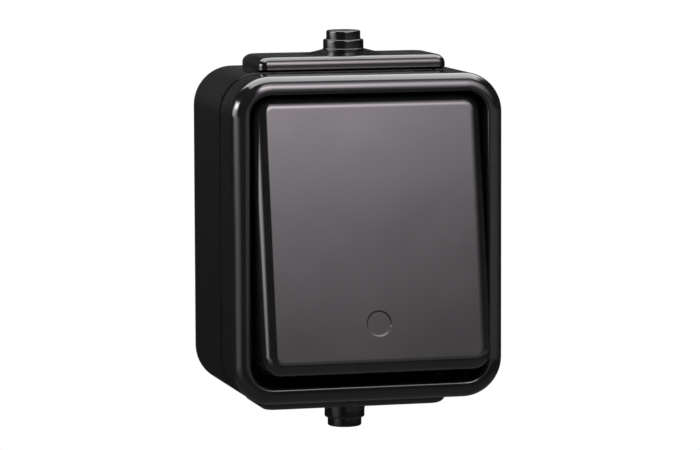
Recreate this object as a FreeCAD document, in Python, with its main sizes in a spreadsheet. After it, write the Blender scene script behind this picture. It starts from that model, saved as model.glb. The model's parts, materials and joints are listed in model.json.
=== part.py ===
import FreeCAD, Part
import math
import os
import re

import Sketcher

# Surface-mounted weatherproof rocker switch, in millimetres.
# Seen from the front, X runs to the right and Z up. The wall is the plane Y = 0 and the switch
# stands out of it towards -Y, so a depth below is a distance in front of the wall.

SIZES = [
    # Housing
    ("width", 66.0, "housing, side to side"),
    ("height", 77.5, "housing, top to bottom"),
    ("housing_depth", 43.0, "wall to the front of the rim"),
    ("corner_round", 9.5, "corner radius of the housing, seen from the front"),
    ("wall", 2.4, "wall of the back box"),
    ("back_floor", 2.4, "floor of the back box"),
    ("back_edge_round", 1.0, "rounding of the back box's rear edge"),
    ("fit_gap", 0.1, "gap between pieces that are put together and stay"),
    ("run_gap", 0.05, "radial gap of a pin that turns or slides in its bore"),
    # Cover frame
    ("cover_depth", 14.8, "cover frame, rear edge to the front of the rim"),
    ("band_depth", 3.7, "band behind the cover's step"),
    ("band_inset", 0.15, "step of that band"),
    ("rim_width", 4.25, "rim, outer wall to recess"),
    ("rim_outer_round", 3.4, "outer rounding of the rim"),
    ("rim_inner_round", 0.8, "inner rounding of the rim"),
    ("recess_depth", 13.5, "front of the rim to the recess floor"),
    ("recess_floor", 2.0, "thickness of the recess floor"),
    ("tongue_depth", 2.2, "tongue of the cover inside the box"),
    ("tongue_wall", 1.5, "wall of that tongue"),
    ("gasket_width", 1.0, "housing gasket, across"),
    ("gasket_depth", 0.8, "housing gasket, front to back"),
    # Cover screws and their bosses
    ("cover_screw_x", 21.0, "cover screw to the middle, sideways"),
    ("cover_screw_z", 25.5, "cover screw to the middle, upwards"),
    ("cover_screw_dia", 3.0, "cover screw shank"),
    ("cover_screw_length", 14.0, "cover screw, end to end"),
    ("cover_head_dia", 5.6, "countersunk head of a cover screw"),
    ("boss_wall", 2.2, "wall of a screw boss around its hole"),
    # Wall fixing slots
    ("fixing_spacing", 60.0, "between the two wall fixing slots"),
    ("fixing_width", 4.5, "fixing slot, across"),
    ("fixing_length", 7.0, "fixing slot, end to end"),
    # Cable entries
    ("entry_width", 46.0, "entry plate, side to side"),
    ("entry_depth", 19.8, "entry plate, front to back"),
    ("entry_proud", 3.5, "entry plate above the housing wall"),
    ("entry_end_round", 2.1, "rounded ends of the entry plate, seen from the front"),
    ("entry_edge_round", 2.0, "front and rear edge rounding of the entry plate"),
    ("entry_groove", 0.4, "groove along the foot of the entry plate's front, both ways"),
    ("entry_overlap", 3.0, "entry plate beyond its slot in the wall"),
    ("entry_flange", 1.5, "thickness of the entry's inner flange"),
    ("entry_flange_overlap", 2.0, "inner flange beyond the slot"),
    ("flare_dia", 15.0, "foot of the nipple's flare"),
    ("flare_height", 1.4, "nipple's flare"),
    ("nipple_low_dia", 9.7, "lower step of the nipple"),
    ("nipple_low_height", 2.15, "lower step of the nipple"),
    ("nipple_high_dia", 8.2, "upper step of the nipple"),
    ("nipple_high_height", 2.1, "upper step of the nipple"),
    ("nipple_edge_round", 0.45, "rounding of the nipple's steps"),
    ("nipple_skin", 1.0, "wall of the nipple and its closed tip"),
    # Rocker plate
    ("rest_tilt", 9.8, "tilt of the rocker either way, degrees"),
    ("pivot_setback", 7.2, "rocker pivot behind the front of the rim"),
    ("face_rise", 11.5, "rocker face in front of its pivot"),
    ("rocker_side_gap", 1.2, "rocker to the recess wall, at the sides"),
    ("rocker_end_gap", 1.9, "rocker to the recess wall, at the ends"),
    ("rocker_corner", 4.4, "corner radius of the rocker"),
    ("rocker_edge_round", 3.0, "edge rounding of the rocker face"),
    ("rocker_face", 2.2, "thickness of the rocker face"),
    ("rocker_skirt", 2.0, "wall of the rocker skirt"),
    ("swing_gap", 0.75, "pressed rocker to the recess floor"),
    ("mark_dia", 5.8, "round mark in the rocker face"),
    ("mark_depth", 0.35, "round mark in the rocker face"),
    ("mark_rise", 11.4, "round mark above the rocker's lower end"),
    ("lug_width", 10.0, "clip lug of the rocker"),
    ("lug_thick", 1.5, "clip lug of the rocker"),
    ("lug_drop", 5.0, "clip lug below the rocker face"),
    # Rocker cradle
    ("cradle_width", 17.6, "cradle between the bearing ears"),
    ("cradle_height", 16.0, "cradle, up and down"),
    ("cradle_plate", 5.8, "front plate of the cradle"),
    ("hub_dia", 7.6, "hub of the cradle"),
    ("pin_dia", 3.0, "pivot pin"),
    ("stem_dia", 7.0, "stem that holds the plunger"),
    ("stem_drop", 8.0, "stem behind the pivot"),
    # Plunger and spring
    ("plunger_dia", 4.0, "plunger"),
    ("plunger_reach", 14.5, "plunger tip behind the pivot"),
    ("plunger_length", 10.5, "plunger, end to end"),
    ("tip_round", 1.5, "rounding of the plunger tip"),
    ("plunger_pocket_dia", 3.0, "spring pocket in the plunger"),
    ("plunger_pocket_depth", 5.0, "spring pocket in the plunger"),
    ("spring_wire", 0.4, "spring wire"),
    ("spring_turns", 7.0, "turns of the spring"),
    ("tip_gap", 0.1, "plunger tip to the contact rocker at mid travel"),
    # Mechanism housing
    ("mech_width", 40.0, "mechanism, both ways"),
    ("mech_rise", 5.0, "mechanism in front of the wall"),
    ("mech_wall", 2.0, "mechanism wall"),
    ("mech_floor", 3.0, "mechanism floor"),
    ("holder_thick", 2.5, "front plate of the mechanism"),
    ("mech_seal", 1.0, "flat seal on that plate"),
    ("seal_land", 2.5, "width of that seal"),
    ("ear_thick", 2.5, "bearing ear"),
    ("ear_wall", 2.0, "bearing ear around its hole"),
    ("ear_gap", 0.4, "bearing ear to the cradle"),
    ("window_gap", 0.9, "bearing ears and pins to the window in the recess floor"),
    ("plunger_window_gap", 0.8, "plunger to the window in the front plate, at full tilt"),
    ("access_gap", 0.3, "terminal screw head to its access hole"),
    ("floor_window_height", 21.0, "window in the recess floor"),
    ("mech_screw_place", 15.0, "mechanism screw to the middle, both ways"),
    ("mech_screw_dia", 2.5, "mechanism screw shank"),
    ("mech_head_dia", 5.0, "mechanism screw head"),
    ("mech_screw_rest", 1.2, "floor left under a mechanism screw"),
    # Terminals and contacts
    ("terminal_width", 8.0, "terminal block, side to side"),
    ("terminal_height", 5.5, "terminal block, along the wire"),
    ("common_place", 12.0, "common terminal to the middle"),
    ("wire_bore", 3.0, "wire hole of a terminal"),
    ("wire_rise", 2.9, "wire hole above the mechanism floor"),
    ("clamp_screw_dia", 2.9, "terminal screw"),
    ("clamp_head_dia", 5.2, "terminal screw head"),
    ("clamp_head_height", 1.8, "terminal screw head"),
    ("strip_thick", 1.0, "terminal strips"),
    ("strip_width", 4.0, "terminal strips"),
    ("lug_plate", 1.2, "bearing lug of the common terminal"),
    ("lug_gap", 0.7, "bearing lug to the contact rocker"),
    ("contact_tilt", 8.0, "tilt of the contact rocker either way, degrees"),
    ("contact_arm", 9.0, "contact button to the middle"),
    ("contact_end", 2.0, "contact rocker beyond its buttons"),
    ("contact_width", 5.0, "contact rocker"),
    ("contact_thick", 1.0, "contact rocker strip"),
    ("contact_bar_dia", 2.0, "pivot bar of the contact rocker"),
    ("contact_lift", 0.7, "contact rocker strip in front of its pivot"),
    ("button_dia", 3.0, "contact button"),
    ("button_height", 0.8, "contact button"),
    ("contact_gap", 0.15, "closed contact buttons at their nearest"),
]

doc = FreeCAD.newDocument("weatherproof_switch")
sheet = doc.addObject("Spreadsheet::Sheet", "Sizes")
for row, (alias, value, note) in enumerate(SIZES, 1):
    sheet.set(f"A{row}", note)
    sheet.set(f"B{row}", str(value))
    sheet.setAlias(f"B{row}", alias)
doc.recompute()
ALIASES = {alias for alias, value, note in SIZES}
# Points closer than this lie on the same face
TOUCH = 1e-4


def cells(text):
    """Write each size named in a formula as its cell in the sheet."""
    return re.sub(r"[a-z_]+", lambda word: "Sizes." + word[0] if word[0] in ALIASES else word[0], text)


def number(text):
    """Today's value of a formula."""
    return float(sheet.evalExpression(cells(text)))


def bind(thing, place, text):
    """Bind one property of a thing to a formula of sizes."""
    thing.setExpression(place, cells(text))


# Places that several pieces share, as formulas of the sizes above
BOX_DEPTH = "(housing_depth - cover_depth)"
FLOOR_FRONT = "(housing_depth - recess_depth)"
FLOOR_BACK = f"({FLOOR_FRONT} - recess_floor)"
PIVOT_DEPTH = "(housing_depth - pivot_setback)"
OPENING_WIDTH = "(width - 2 * rim_width)"
OPENING_HEIGHT = "(height - 2 * rim_width)"
ROCKER_WIDTH = f"({OPENING_WIDTH} - 2 * rocker_side_gap)"
ROCKER_HEIGHT = f"({OPENING_HEIGHT} - 2 * rocker_end_gap)"
FACE_BACK = "(face_rise - rocker_face)"
SKIRT_EDGE = (
    f"((pivot_setback - recess_depth + swing_gap + {ROCKER_HEIGHT} / 2 * sin(rest_tilt))"
    " / cos(rest_tilt))"
)
HOLDER_FRONT = f"({FLOOR_BACK} - mech_seal)"
HOLDER_BACK = f"({HOLDER_FRONT} - holder_thick)"
MECH_FLOOR = "(mech_rise + mech_floor)"
CAVITY = "(mech_width - 2 * mech_wall)"
EAR_INNER = "(cradle_width / 2 + ear_gap)"
EAR_OUTER = f"({EAR_INNER} + ear_thick)"
EAR_RADIUS = "(pin_dia / 2 + run_gap + ear_wall)"
FLOOR_WINDOW_WIDTH = f"(2 * {EAR_OUTER} + 2 * window_gap)"
CONTACT_FRONT = f"({PIVOT_DEPTH} - plunger_reach - tip_gap)"
CONTACT_PIVOT = f"({CONTACT_FRONT} - contact_thick - contact_lift)"
CONTACT_REACH = "(contact_arm + button_dia / 2)"
FIXED_FRONT = (
    f"({CONTACT_PIVOT} - (button_height - contact_lift) * cos(contact_tilt)"
    f" - {CONTACT_REACH} * sin(contact_tilt) - contact_gap)"
)
ARM_FRONT = f"({FIXED_FRONT} - button_height)"
TERMINAL_Z = f"({CAVITY} / 2 - terminal_height / 2)"
ENTRY_BACK = f"({BOX_DEPTH} - entry_depth)"
NIPPLE_DEPTH = f"({BOX_DEPTH} - entry_depth / 2)"
SLOT_BACK = f"({ENTRY_BACK} + entry_overlap)"
SLOT_WIDTH = "(entry_width - 2 * entry_overlap)"
TONGUE_BACK = f"({BOX_DEPTH} - tongue_depth)"
COVER_HOLE = "(cover_screw_dia + 2 * fit_gap)"
MECH_HOLE = "(mech_screw_dia + 2 * fit_gap)"
FOUR_CORNERS = [(1, 1), (-1, 1), (-1, -1), (1, -1)]
SCREWED_CORNERS = [(1, -1), (-1, 1)]
SIDES = {"right": 1, "left": -1}
ENDS = {"upper": 1, "lower": -1}
BUTTONS = [("0", "contact_arm"), ("0", "-contact_arm")]


def new_body(name):
    body = doc.addObject("PartDesign::Body", name)
    body.Label = name
    body.AllowCompound = True
    return body


def sketch_on(body, name, plane, depth="0", right="0", up="0"):
    """A sketch on one of the body's own planes, moved along its normal and within it."""
    sketch = body.newObject("Sketcher::SketchObject", name)
    support = next(feature for feature in body.Origin.OriginFeatures if feature.Role == plane)
    sketch.AttachmentSupport = (support, [""])
    sketch.MapMode = "FlatFace"
    bind(sketch, "AttachmentOffset.Base.x", right)
    bind(sketch, "AttachmentOffset.Base.y", up)
    bind(sketch, "AttachmentOffset.Base.z", depth)
    return sketch


def fix(sketch, kind, items, text):
    """Add a constraint whose value follows a formula."""
    index = sketch.addConstraint(Sketcher.Constraint(kind, *items, number(text)))
    bind(sketch, f"Constraints[{index}]", text)


def fix_point(sketch, geometry, point, right, up):
    fix(sketch, "DistanceX", (geometry, point), right)
    fix(sketch, "DistanceY", (geometry, point), up)


def outline(sketch, corners):
    """A closed outline. A corner is (right, up), or (right, up, radius) between two square edges."""
    spots = [FreeCAD.Vector(number(c[0]), number(c[1]), 0) for c in corners]
    count = len(corners)
    enters, leaves, arcs = [], [], []
    for i, corner in enumerate(corners):
        into = (spots[i] - spots[i - 1]).normalize()
        out = (spots[(i + 1) % count] - spots[i]).normalize()
        radius = number(corner[2]) if len(corner) > 2 else 0
        enters.append(spots[i] - into * radius)
        leaves.append(spots[i] + out * radius)
        if radius == 0:
            arcs.append(None)
            continue
        centre = spots[i] - into * radius + out * radius
        middle = centre + (spots[i] - centre).normalize() * radius
        arc = sketch.addGeometry(Part.Arc(enters[i], middle, leaves[i]))
        arcs.append(arc)
        turn = out - into
        fix(sketch, "Radius", (arc,), corner[2])
        fix_point(sketch, arc, 3, f"{corner[0]} + {round(turn.x)} * ({corner[2]})",
                  f"{corner[1]} + {round(turn.y)} * ({corner[2]})")
    lines = [
        sketch.addGeometry(Part.LineSegment(leaves[i], enters[(i + 1) % count])) for i in range(count)
    ]
    for i, arc in enumerate(arcs):
        if arc is None:
            sketch.addConstraint(Sketcher.Constraint("Coincident", lines[i - 1], 2, lines[i], 1))
            fix_point(sketch, lines[i], 1, corners[i][0], corners[i][1])
            continue
        # An arc runs anticlockwise, so its start meets the line that leaves a right-hand turn
        clockwise = (spots[i] - spots[i - 1]).cross(spots[(i + 1) % count] - spots[i]).z < 0
        first, last = (2, 1) if clockwise else (1, 2)
        sketch.addConstraint(Sketcher.Constraint("Tangent", lines[i - 1], 2, arc, first))
        sketch.addConstraint(Sketcher.Constraint("Tangent", arc, last, lines[i], 1))


def rectangle(sketch, width, height, radius=None, right="0", up="0"):
    """A rectangle about a point, with rounded corners where a radius is given."""
    rounding = [radius] if radius else []
    outline(sketch, [
        [f"{right} + {a} * ({width}) / 2", f"{up} + {b} * ({height}) / 2", *rounding]
        for a, b in FOUR_CORNERS
    ])


def circle(sketch, diameter, right="0", up="0"):
    centre = FreeCAD.Vector(number(right), number(up), 0)
    ring = sketch.addGeometry(Part.Circle(centre, FreeCAD.Vector(0, 0, 1), number(diameter) / 2))
    fix(sketch, "Diameter", (ring,), diameter)
    fix_point(sketch, ring, 3, right, up)


def slot(sketch, width, length, right, up):
    """An upright slot with round ends."""
    half = number(width) / 2
    middle = FreeCAD.Vector(number(right), number(up), 0)
    reach = FreeCAD.Vector(0, number(length) / 2 - half, 0)
    side = FreeCAD.Vector(half, 0, 0)
    normal = FreeCAD.Vector(0, 0, 1)
    top_circle = Part.Circle(middle + reach, normal, half)
    low_circle = Part.Circle(middle - reach, normal, half)
    upper = sketch.addGeometry(Part.ArcOfCircle(top_circle, 0, math.pi))
    lower = sketch.addGeometry(Part.ArcOfCircle(low_circle, math.pi, 2 * math.pi))
    left = sketch.addGeometry(Part.LineSegment(middle + reach - side, middle - reach - side))
    back = sketch.addGeometry(Part.LineSegment(middle - reach + side, middle + reach + side))
    ring = [upper, left, lower, back]
    for i, piece in enumerate(ring):
        sketch.addConstraint(Sketcher.Constraint("Tangent", piece, 2, ring[(i + 1) % 4], 1))
    fix(sketch, "Radius", (upper,), f"({width}) / 2")
    fix_point(sketch, upper, 3, right, f"{up} + ({length}) / 2 - ({width}) / 2")
    fix_point(sketch, lower, 3, right, f"{up} - ({length}) / 2 + ({width}) / 2")


def pad(body, sketch, length):
    """Material from the sketch, the way its plane faces."""
    feature = body.newObject("PartDesign::Pad", sketch.Name + "_pad")
    feature.Profile = sketch
    bind(feature, "Length", length)
    return settle(feature)


def pocket(body, sketch, length, onward=False):
    """A cut from the sketch, back from its plane or onward the way it faces. It has to cut something."""
    before = body.Shape.Volume
    feature = body.newObject("PartDesign::Pocket", sketch.Name + "_cut")
    feature.Profile = sketch
    feature.Reversed = onward
    bind(feature, "Length", length)
    settle(feature)
    if body.Shape.Volume > before - TOUCH:
        raise RuntimeError(f"{feature.Name} cuts nothing")
    return feature


def turned(body, sketch, axis, cut=False):
    """A turned solid, or a turned cut, about an axis of the sketch."""
    kind = "PartDesign::Groove" if cut else "PartDesign::Revolution"
    feature = body.newObject(kind, sketch.Name + "_turned")
    feature.Profile = sketch
    feature.ReferenceAxis = (sketch, [axis])
    feature.Angle = 360.0
    return settle(feature)


def settle(feature):
    doc.recompute()
    if "Invalid" in feature.State or "Error" in feature.State:
        raise RuntimeError(f"{feature.Name} failed")
    return feature


def round_edges(body, feature, radius, chosen):
    """Round each edge of a feature that the test chooses."""
    names = [f"Edge{i}" for i, edge in enumerate(feature.Shape.Edges, 1) if chosen(edge)]
    rounding = body.newObject("PartDesign::Fillet", feature.Name + "_round")
    rounding.Base = (feature, names)
    bind(rounding, "Radius", radius)
    return settle(rounding)


def all_at(edge, test):
    """Whether the whole edge keeps to a test of its points."""
    return all(test(point) for point in edge.discretize(5))


def near(value, text):
    return abs(value - number(text)) < TOUCH


def slab(body, name, front, back, width, height, radius):
    """A rounded rectangular slab between two depths."""
    sketch = sketch_on(body, name, "XZ_Plane", back)
    rectangle(sketch, width, height, radius)
    return pad(body, sketch, f"({front}) - ({back})")


def box_cut(body, name, front, back, width, height, radius=None):
    """A rectangular cut between two depths."""
    sketch = sketch_on(body, name, "XZ_Plane", front)
    rectangle(sketch, width, height, radius)
    return pocket(body, sketch, f"({front}) - ({back})")


def round_cut(body, name, front, back, diameter, places):
    """Round holes between two depths."""
    sketch = sketch_on(body, name, "XZ_Plane", front)
    for right, up in places:
        circle(sketch, diameter, right, up)
    return pocket(body, sketch, f"({front}) - ({back})")


def block(body, name, front, back, width, height, right="0", up="0"):
    """A rectangular block between two depths."""
    sketch = sketch_on(body, name, "XZ_Plane", back)
    rectangle(sketch, width, height, None, right, up)
    return pad(body, sketch, f"({front}) - ({back})")


def post(body, name, front, back, diameter, places):
    """Round posts between two depths."""
    sketch = sketch_on(body, name, "XZ_Plane", back)
    for right, up in places:
        circle(sketch, diameter, right, up)
    return pad(body, sketch, f"({front}) - ({back})")


def screw(body, name, right, up, profile):
    """A turned screw along Y through a place of the front view. The profile is (depth, radius) pairs."""
    sketch = sketch_on(body, name, "YZ_Plane", right, "0", up)
    outline(sketch, [(f"-({depth})", radius) for depth, radius in profile])
    return turned(body, sketch, "H_Axis")


def tilted(body, depth, angle, sign):
    """Stand a body that is drawn about its own pivot at that depth, turned about X."""
    body.Placement = FreeCAD.Placement(
        FreeCAD.Vector(0, -number(depth), 0), FreeCAD.Rotation(FreeCAD.Vector(sign, 0, 0), number(angle))
    )
    bind(body, "Placement.Base.y", f"-{depth}")
    bind(body, "Placement.Rotation.Angle", angle)


def corner_places(place_x, place_z, corners):
    return [(f"{a} * {place_x}", f"{b} * {place_z}") for a, b in corners]


COVER_SCREWS = corner_places("cover_screw_x", "cover_screw_z", FOUR_CORNERS)
MECH_FEET = corner_places("mech_screw_place", "mech_screw_place", FOUR_CORNERS)
MECH_SCREWS = corner_places("mech_screw_place", "mech_screw_place", SCREWED_CORNERS)
TERMINALS = {
    "upper": ("0", TERMINAL_Z),
    "lower": ("0", f"-{TERMINAL_Z}"),
    "common": ("-common_place", f"-{TERMINAL_Z}"),
}


def make_back_box():
    body = new_body("back_box")
    shell = slab(body, "box_outer", BOX_DEPTH, "0", "width", "height", "corner_round")
    round_edges(body, shell, "back_edge_round", lambda edge: all_at(edge, lambda point: near(point.y, "0")))
    box_cut(body, "box_inside", BOX_DEPTH, "back_floor", "width - 2 * wall", "height - 2 * wall",
            "corner_round - wall")
    post(body, "cover_bosses", FLOOR_BACK, "back_floor", f"{COVER_HOLE} + 2 * boss_wall", COVER_SCREWS)
    post(body, "mechanism_feet", "mech_rise", "back_floor", f"{MECH_HOLE} + 2 * boss_wall", MECH_FEET)
    round_cut(body, "cover_screw_holes", FLOOR_BACK, f"{FLOOR_BACK} - cover_screw_length", COVER_HOLE,
              COVER_SCREWS)
    round_cut(body, "mech_screw_holes", "mech_rise", "mech_screw_rest", MECH_HOLE, MECH_SCREWS)
    fixings = sketch_on(body, "fixing_slots", "XZ_Plane", "back_floor")
    for sign in ENDS.values():
        slot(fixings, "fixing_width", "fixing_length", "0", f"{sign} * fixing_spacing / 2")
    pocket(body, fixings, "back_floor")
    # The cable entries slide into these two slots from the open front
    box_cut(body, "entry_slots", BOX_DEPTH, SLOT_BACK, SLOT_WIDTH, "height + 2 * wall")
    return body


def on_rim_front(edge):
    return all_at(edge, lambda point: near(point.y, "-housing_depth"))


def around_opening(edge):
    """Whether an edge lies on the recess wall, inside the rim's crest."""
    half_width = number(f"{OPENING_WIDTH} / 2") + TOUCH
    half_height = number(f"{OPENING_HEIGHT} / 2") + TOUCH
    return all_at(edge, lambda point: abs(point.x) < half_width and abs(point.z) < half_height)


def make_cover_frame():
    body = new_body("cover_frame")
    step = f"({BOX_DEPTH} + band_depth)"
    slab(body, "cover_band", step, BOX_DEPTH, "width - 2 * band_inset", "height - 2 * band_inset",
         "corner_round - band_inset")
    slab(body, "cover_front", "housing_depth", step, "width", "height", "corner_round")
    inner = "width - 2 * (wall + fit_gap)"
    rise = "height - 2 * (wall + fit_gap)"
    last = slab(body, "cover_tongue", BOX_DEPTH, TONGUE_BACK, inner, rise, "corner_round - wall - fit_gap")
    round_edges(body, last, "rim_outer_round", on_rim_front)
    recess = box_cut(body, "recess", "housing_depth", FLOOR_FRONT, OPENING_WIDTH, OPENING_HEIGHT,
                     "corner_round - rim_width")
    round_edges(body, recess, "rim_inner_round", lambda edge: on_rim_front(edge) and around_opening(edge))
    thin = "tongue_wall + wall + fit_gap"
    box_cut(body, "behind_floor", FLOOR_BACK, TONGUE_BACK, f"width - 2 * ({thin})",
            f"height - 2 * ({thin})", f"corner_round - ({thin})")
    box_cut(body, "floor_window", FLOOR_FRONT, FLOOR_BACK, FLOOR_WINDOW_WIDTH, "floor_window_height")
    for i, (right, up) in enumerate(COVER_SCREWS):
        countersink(body, f"cover_sink_{i + 1}", right, up, cover_screw_profile("fit_gap", FLOOR_BACK))
    gasket_outline(body, "gasket_groove", cut=True)
    return body


def sunk_profile(front, head_dia, shank_dia, gap, end):
    """Half section of a countersunk screw from its head's front to its end, or of its hole with a gap."""
    head = f"({head_dia} / 2 + {gap})"
    shank = f"({shank_dia} / 2 + {gap})"
    throat = f"{front} - {head} + {shank}"
    return [(end, "0"), (end, shank), (throat, shank), (front, head), (front, "0")]


def cover_screw_profile(gap, end):
    return sunk_profile(FLOOR_FRONT, "cover_head_dia", "cover_screw_dia", gap, end)


def mech_screw_profile(gap, end):
    return sunk_profile(HOLDER_FRONT, "mech_head_dia", "mech_screw_dia", gap, end)


def countersink(body, name, right, up, profile):
    """A countersunk hole along Y through a place of the front view."""
    sketch = sketch_on(body, name, "YZ_Plane", right, "0", up)
    outline(sketch, [(f"-({depth})", radius) for depth, radius in profile])
    return turned(body, sketch, "H_Axis", cut=True)


def gasket_outline(body, name, cut):
    """The ring that the housing gasket fills, midway across the box's front edge."""
    inset = "(wall / 2 + band_inset / 2 - gasket_width / 2)"
    sketch = sketch_on(body, name, "XZ_Plane", BOX_DEPTH)
    rectangle(sketch, f"width - 2 * {inset}", f"height - 2 * {inset}", f"corner_round - {inset}")
    deep = f"({inset} + gasket_width)"
    rectangle(sketch, f"width - 2 * {deep}", f"height - 2 * {deep}", f"corner_round - {deep}")
    if cut:
        return pocket(body, sketch, "gasket_depth", onward=True)
    return pad(body, sketch, "gasket_depth")


def around_plate(edge, wall_top):
    """Whether an edge bounds the front or the rear face of the entry plate, off the housing wall."""
    at_front = all_at(edge, lambda point: near(point.y, f"-{BOX_DEPTH}"))
    at_rear = all_at(edge, lambda point: near(point.y, f"-{ENTRY_BACK}"))
    on_wall = all_at(edge, lambda point: near(point.z, wall_top))
    return (at_front or at_rear) and not on_wall


def make_cable_entry(name, side):
    """Plate, neck, inner flange and nipple of one entry; side is 1 at the top and -1 at the bottom."""
    body = new_body(name)
    wall_top = "height / 2"
    plate_top = f"({wall_top} + entry_proud)"
    sketch = sketch_on(body, f"{name}_plate", "XZ_Plane", ENTRY_BACK)
    outline(sketch, [
        ("entry_width / 2", wall_top), ("entry_width / 2", plate_top, "entry_end_round"),
        ("-entry_width / 2", plate_top, "entry_end_round"), ("-entry_width / 2", wall_top),
    ])
    plate = pad(body, sketch, "entry_depth")
    round_edges(body, plate, "entry_edge_round", lambda edge: around_plate(edge, wall_top))
    groove = sketch_on(body, f"{name}_foot_groove", "XZ_Plane", BOX_DEPTH)
    rectangle(groove, "entry_width", "entry_groove", None, "0", f"{wall_top} + entry_groove / 2")
    pocket(body, groove, "entry_groove")
    inner_top = f"({wall_top} - wall)"
    flange_low = f"({inner_top} - entry_flange)"
    for layer, low, high, across, back, front in [
        ("neck", inner_top, wall_top, f"{SLOT_WIDTH} - 2 * fit_gap", f"({SLOT_BACK} + fit_gap)", BOX_DEPTH),
        ("flange", flange_low, inner_top, f"{SLOT_WIDTH} + 2 * entry_flange_overlap",
         f"({SLOT_BACK} - entry_flange_overlap)", f"({TONGUE_BACK} - fit_gap)"),
    ]:
        sketch = sketch_on(body, f"{name}_{layer}", "XY_Plane", low)
        rectangle(sketch, across, f"{front} - {back}", None, "0", f"-({front} + {back}) / 2")
        pad(body, sketch, f"{high} - {low}")
    flare_top = f"({plate_top} + flare_height)"
    step = f"({flare_top} + nipple_low_height)"
    tip = f"({step} + nipple_high_height)"
    nipple = sketch_on(body, f"{name}_nipple", "XZ_Plane", NIPPLE_DEPTH)
    outline(nipple, [
        ("0", plate_top), ("flare_dia / 2", plate_top), ("nipple_low_dia / 2", flare_top),
        ("nipple_low_dia / 2", step, "nipple_edge_round"), ("nipple_high_dia / 2", step),
        ("nipple_high_dia / 2", tip, "nipple_edge_round"), ("0", tip),
    ])
    turned(body, nipple, "V_Axis")
    bore = sketch_on(body, f"{name}_bore", "XY_Plane", flange_low)
    circle(bore, "nipple_high_dia - 2 * nipple_skin", "0", f"-{NIPPLE_DEPTH}")
    pocket(body, bore, f"{tip} - nipple_skin - {flange_low}", onward=True)
    if side < 0:
        body.Placement = FreeCAD.Placement(FreeCAD.Vector(), FreeCAD.Rotation(FreeCAD.Vector(0, 1, 0), 180))
    return body


def make_housing_gasket():
    body = new_body("housing_gasket")
    gasket_outline(body, "gasket_ring", cut=False)
    return body


def make_cover_screws():
    body = new_body("cover_screws")
    profile = cover_screw_profile("0", f"{FLOOR_FRONT} - cover_screw_length")
    for i, (right, up) in enumerate(COVER_SCREWS):
        screw(body, f"cover_screw_{i + 1}", right, up, profile)
    return body


def make_mechanism_base():
    body = new_body("mechanism_base")
    block(body, "base_outer", HOLDER_BACK, "mech_rise", "mech_width", "mech_width")
    box_cut(body, "base_inside", HOLDER_BACK, MECH_FLOOR, CAVITY, CAVITY)
    post(body, "base_pillars", HOLDER_BACK, MECH_FLOOR, f"{MECH_HOLE} + 2 * boss_wall", MECH_SCREWS)
    round_cut(body, "base_screw_holes", HOLDER_BACK, "mech_rise", MECH_HOLE, MECH_SCREWS)
    wire_depth = f"({MECH_FLOOR} + wire_rise)"
    for name, (right, up) in TERMINALS.items():
        side = "" if name == "upper" else "-"
        hole = sketch_on(body, f"{name}_wire_hole", "XY_Plane", f"{side}mech_width / 2")
        circle(hole, "wire_bore", right, f"-{wire_depth}")
        pocket(body, hole, "mech_wall", onward=name != "upper")
    return body


def make_mechanism_holder():
    body = new_body("mechanism_holder")
    block(body, "holder_plate", HOLDER_FRONT, HOLDER_BACK, "mech_width", "mech_width")
    for side, sign in SIDES.items():
        ear = sketch_on(body, f"ear_{side}", "YZ_Plane", f"{sign} * ({EAR_INNER} + ear_thick / 2)")
        ear_outline(ear)
        feature = body.newObject("PartDesign::Pad", ear.Name + "_pad")
        feature.Profile = ear
        feature.SideType = "Symmetric"
        bind(feature, "Length", "ear_thick")
        settle(feature)
    bore = sketch_on(body, "ear_bores", "YZ_Plane", f"-{EAR_OUTER} - ear_gap")
    circle(bore, "pin_dia + 2 * run_gap", f"-{PIVOT_DEPTH}", "0")
    pocket(body, bore, f"2 * ({EAR_OUTER} + ear_gap)", onward=True)
    play = "plunger_dia + 2 * plunger_window_gap"
    swing = f"(({PIVOT_DEPTH} - {HOLDER_BACK}) * tan(rest_tilt))"
    box_cut(body, "plunger_window", HOLDER_FRONT, HOLDER_BACK, play, f"{play} + 2 * {swing}")
    round_cut(body, "clamp_screw_access", HOLDER_FRONT, HOLDER_BACK, "clamp_head_dia + 2 * access_gap",
              list(TERMINALS.values()))
    for i, (right, up) in enumerate(MECH_SCREWS):
        countersink(body, f"mech_sink_{i + 1}", right, up, mech_screw_profile("fit_gap", HOLDER_BACK))
    return body


def ear_outline(sketch):
    """A bearing ear: a straight post that ends in a half circle about the pivot."""
    back, top = f"-{HOLDER_BACK}", f"-{PIVOT_DEPTH}"
    radius = EAR_RADIUS
    r = number(radius)
    low, high = number(back), number(top)
    corners = [FreeCAD.Vector(x, y, 0) for x, y in [(low, -r), (high, -r), (high, r), (low, r)]]
    lower = sketch.addGeometry(Part.LineSegment(corners[0], corners[1]))
    cap = sketch.addGeometry(Part.Arc(corners[1], FreeCAD.Vector(high - r, 0, 0), corners[2]))
    upper = sketch.addGeometry(Part.LineSegment(corners[2], corners[3]))
    foot = sketch.addGeometry(Part.LineSegment(corners[3], corners[0]))
    sketch.addConstraint(Sketcher.Constraint("Tangent", lower, 2, cap, 2))
    sketch.addConstraint(Sketcher.Constraint("Tangent", cap, 1, upper, 1))
    sketch.addConstraint(Sketcher.Constraint("Coincident", upper, 2, foot, 1))
    sketch.addConstraint(Sketcher.Constraint("Coincident", foot, 2, lower, 1))
    fix(sketch, "Radius", (cap,), radius)
    fix_point(sketch, cap, 3, top, "0")
    fix_point(sketch, lower, 1, back, f"-{radius}")
    fix_point(sketch, foot, 1, back, radius)


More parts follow.
